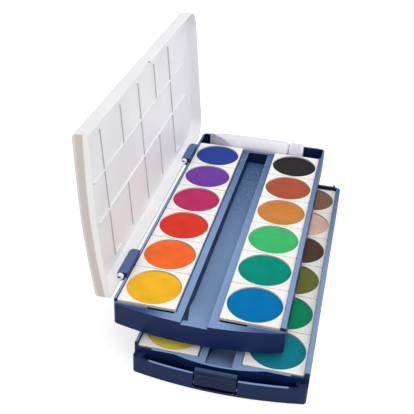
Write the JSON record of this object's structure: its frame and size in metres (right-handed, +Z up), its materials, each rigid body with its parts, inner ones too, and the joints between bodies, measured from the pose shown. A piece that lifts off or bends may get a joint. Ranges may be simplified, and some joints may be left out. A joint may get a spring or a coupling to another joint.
{
  "type": "gouache paint set box",
  "caption": "Stacked gouache paint box: trays of square pans holding paint tablets, brush channels, a hinged white mixing lid, a front latch and a tube of white in a trough.",
  "frame": {"origin": "middle of the lower tray's pans, on the plane of its feet", "axes": "+Z up, +Y from the latch towards the back, +X to the right, away from the lid's hinge"},
  "size_m": [0.1247, 0.2291, 0.1273],
  "materials": {
    "navy_plastic": "semi-gloss moulded, dark blue",
    "lid_plastic": "semi-gloss moulded, white",
    "pan_plastic": "semi-gloss moulded, white",
    "pin_metal": "drawn wire",
    "tube_skin": "lacquered collapsible tube, bare",
    "cap_plastic": "satin white",
    "upper_paint_1": "pressed gouache, satin",
    "upper_paint_2": "pressed gouache, satin",
    "upper_paint_3": "pressed gouache, satin",
    "upper_paint_4": "pressed gouache, satin",
    "upper_paint_5": "pressed gouache, satin",
    "upper_paint_6": "pressed gouache, satin",
    "upper_paint_7": "pressed gouache, satin",
    "upper_paint_8": "pressed gouache, satin",
    "upper_paint_9": "pressed gouache, satin",
    "upper_paint_10": "pressed gouache, satin",
    "upper_paint_11": "pressed gouache, satin",
    "upper_paint_12": "pressed gouache, satin",
    "lower_paint_1": "pressed gouache, satin",
    "lower_paint_2": "pressed gouache, satin",
    "lower_paint_3": "pressed gouache, satin",
    "lower_paint_4": "pressed gouache, satin",
    "lower_paint_5": "pressed gouache, satin",
    "lower_paint_6": "pressed gouache, satin",
    "lower_paint_7": "pressed gouache, satin",
    "lower_paint_8": "pressed gouache, satin",
    "lower_paint_9": "pressed gouache, satin",
    "lower_paint_10": "pressed gouache, satin",
    "lower_paint_11": "pressed gouache, satin",
    "lower_paint_12": "pressed gouache, satin"
  },
  "bodies": {
    "lower_tray": {"lower_tray": "navy_plastic", "latch_pin": "pin_metal"},
    "upper_tray": {"upper_tray": "navy_plastic"},
    "mixing_lid": {"mixing_lid": "lid_plastic"},
    "latch": {"latch": "navy_plastic"},
    "paint_tube": {"tube_body": "tube_skin"},
    "tube_cap": {"tube_cap": "cap_plastic"},
    "upper_pan_1": {"upper_pan_1": "pan_plastic", "upper_paint_1": "upper_paint_1"},
    "upper_pan_2": {"upper_pan_2": "pan_plastic", "upper_paint_2": "upper_paint_2"},
    "upper_pan_3": {"upper_pan_3": "pan_plastic", "upper_paint_3": "upper_paint_3"},
    "upper_pan_4": {"upper_pan_4": "pan_plastic", "upper_paint_4": "upper_paint_4"},
    "upper_pan_5": {"upper_pan_5": "pan_plastic", "upper_paint_5": "upper_paint_5"},
    "upper_pan_6": {"upper_pan_6": "pan_plastic", "upper_paint_6": "upper_paint_6"},
    "upper_pan_7": {"upper_pan_7": "pan_plastic", "upper_paint_7": "upper_paint_7"},
    "upper_pan_8": {"upper_pan_8": "pan_plastic", "upper_paint_8": "upper_paint_8"},
    "upper_pan_9": {"upper_pan_9": "pan_plastic", "upper_paint_9": "upper_paint_9"},
    "upper_pan_10": {"upper_pan_10": "pan_plastic", "upper_paint_10": "upper_paint_10"},
    "upper_pan_11": {"upper_pan_11": "pan_plastic", "upper_paint_11": "upper_paint_11"},
    "upper_pan_12": {"upper_pan_12": "pan_plastic", "upper_paint_12": "upper_paint_12"},
    "lower_pan_1": {"lower_pan_1": "pan_plastic", "lower_paint_1": "lower_paint_1"},
    "lower_pan_2": {"lower_pan_2": "pan_plastic", "lower_paint_2": "lower_paint_2"},
    "lower_pan_3": {"lower_pan_3": "pan_plastic", "lower_paint_3": "lower_paint_3"},
    "lower_pan_4": {"lower_pan_4": "pan_plastic", "lower_paint_4": "lower_paint_4"},
    "lower_pan_5": {"lower_pan_5": "pan_plastic", "lower_paint_5": "lower_paint_5"},
    "lower_pan_6": {"lower_pan_6": "pan_plastic", "lower_paint_6": "lower_paint_6"},
    "lower_pan_7": {"lower_pan_7": "pan_plastic", "lower_paint_7": "lower_paint_7"},
    "lower_pan_8": {"lower_pan_8": "pan_plastic", "lower_paint_8": "lower_paint_8"},
    "lower_pan_9": {"lower_pan_9": "pan_plastic", "lower_paint_9": "lower_paint_9"},
    "lower_pan_10": {"lower_pan_10": "pan_plastic", "lower_paint_10": "lower_paint_10"},
    "lower_pan_11": {"lower_pan_11": "pan_plastic", "lower_paint_11": "lower_paint_11"},
    "lower_pan_12": {"lower_pan_12": "pan_plastic", "lower_paint_12": "lower_paint_12"}
  },
  "joints": [
    {"name": "upper_tray_lift", "type": "slide", "parent": "lower_tray", "child": "upper_tray", "axis": [0, 0, 1], "range_m": [0, 0.08]},
    {"name": "lid_hinge", "type": "hinge", "parent": "upper_tray", "child": "mixing_lid", "pos_m": [-0.06274, 0.012, 0.0337], "axis": [0, -1, 0], "range_deg": [-95, 0]},
    {"name": "latch_pivot", "type": "hinge", "parent": "lower_tray", "child": "latch", "pos_m": [0, -0.10422, 0.0036], "axis": [1, 0, 0], "range_deg": [0, 50]},
    {"name": "tube_lift", "type": "slide", "parent": "upper_tray", "child": "paint_tube", "axis": [0, 0, 1], "range_m": [0, 0.04]},
    {"name": "cap_turn", "type": "hinge", "parent": "paint_tube", "child": "tube_cap", "pos_m": [0.0106, 0.11492, 0.03115], "axis": [1, 0, 0], "range_deg": [0, 720]},
    {"name": "upper_pan_1_lift", "type": "slide", "parent": "upper_tray", "child": "upper_pan_1", "axis": [0, 0, 1], "range_m": [0, 0.02]},
    {"name": "upper_pan_2_lift", "type": "slide", "parent": "upper_tray", "child": "upper_pan_2", "axis": [0, 0, 1], "range_m": [0, 0.02]},
    {"name": "upper_pan_3_lift", "type": "slide", "parent": "upper_tray", "child": "upper_pan_3", "axis": [0, 0, 1], "range_m": [0, 0.02]},
    {"name": "upper_pan_4_lift", "type": "slide", "parent": "upper_tray", "child": "upper_pan_4", "axis": [0, 0, 1], "range_m": [0, 0.02]},
    {"name": "upper_pan_5_lift", "type": "slide", "parent": "upper_tray", "child": "upper_pan_5", "axis": [0, 0, 1], "range_m": [0, 0.02]},
    {"name": "upper_pan_6_lift", "type": "slide", "parent": "upper_tray", "child": "upper_pan_6", "axis": [0, 0, 1], "range_m": [0, 0.02]},
    {"name": "upper_pan_7_lift", "type": "slide", "parent": "upper_tray", "child": "upper_pan_7", "axis": [0, 0, 1], "range_m": [0, 0.02]},
    {"name": "upper_pan_8_lift", "type": "slide", "parent": "upper_tray", "child": "upper_pan_8", "axis": [0, 0, 1], "range_m": [0, 0.02]},
    {"name": "upper_pan_9_lift", "type": "slide", "parent": "upper_tray", "child": "upper_pan_9", "axis": [0, 0, 1], "range_m": [0, 0.02]},
    {"name": "upper_pan_10_lift", "type": "slide", "parent": "upper_tray", "child": "upper_pan_10", "axis": [0, 0, 1], "range_m": [0, 0.02]},
    {"name": "upper_pan_11_lift", "type": "slide", "parent": "upper_tray", "child": "upper_pan_11", "axis": [0, 0, 1], "range_m": [0, 0.02]},
    {"name": "upper_pan_12_lift", "type": "slide", "parent": "upper_tray", "child": "upper_pan_12", "axis": [0, 0, 1], "range_m": [0, 0.02]},
    {"name": "lower_pan_1_lift", "type": "slide", "parent": "lower_tray", "child": "lower_pan_1", "axis": [0, 0, 1], "range_m": [0, 0.0022]},
    {"name": "lower_pan_2_lift", "type": "slide", "parent": "lower_tray", "child": "lower_pan_2", "axis": [0, 0, 1], "range_m": [0, 0.0022]},
    {"name": "lower_pan_3_lift", "type": "slide", "parent": "lower_tray", "child": "lower_pan_3", "axis": [0, 0, 1], "range_m": [0, 0.0022]},
    {"name": "lower_pan_4_lift", "type": "slide", "parent": "lower_tray", "child": "lower_pan_4", "axis": [0, 0, 1], "range_m": [0, 0.0022]},
    {"name": "lower_pan_5_lift", "type": "slide", "parent": "lower_tray", "child": "lower_pan_5", "axis": [0, 0, 1], "range_m": [0, 0.0022]},
    {"name": "lower_pan_6_lift", "type": "slide", "parent": "lower_tray", "child": "lower_pan_6", "axis": [0, 0, 1], "range_m": [0, 0.0022]},
    {"name": "lower_pan_7_lift", "type": "slide", "parent": "lower_tray", "child": "lower_pan_7", "axis": [0, 0, 1], "range_m": [0, 0.0022]},
    {"name": "lower_pan_8_lift", "type": "slide", "parent": "lower_tray", "child": "lower_pan_8", "axis": [0, 0, 1], "range_m": [0, 0.0022]},
    {"name": "lower_pan_9_lift", "type": "slide", "parent": "lower_tray", "child": "lower_pan_9", "axis": [0, 0, 1], "range_m": [0, 0.0022]},
    {"name": "lower_pan_10_lift", "type": "slide", "parent": "lower_tray", "child": "lower_pan_10", "axis": [0, 0, 1], "range_m": [0, 0.0022]},
    {"name": "lower_pan_11_lift", "type": "slide", "parent": "lower_tray", "child": "lower_pan_11", "axis": [0, 0, 1], "range_m": [0, 0.0022]},
    {"name": "lower_pan_12_lift", "type": "slide", "parent": "lower_tray", "child": "lower_pan_12", "axis": [0, 0, 1], "range_m": [0, 0.0022]}
  ]
}
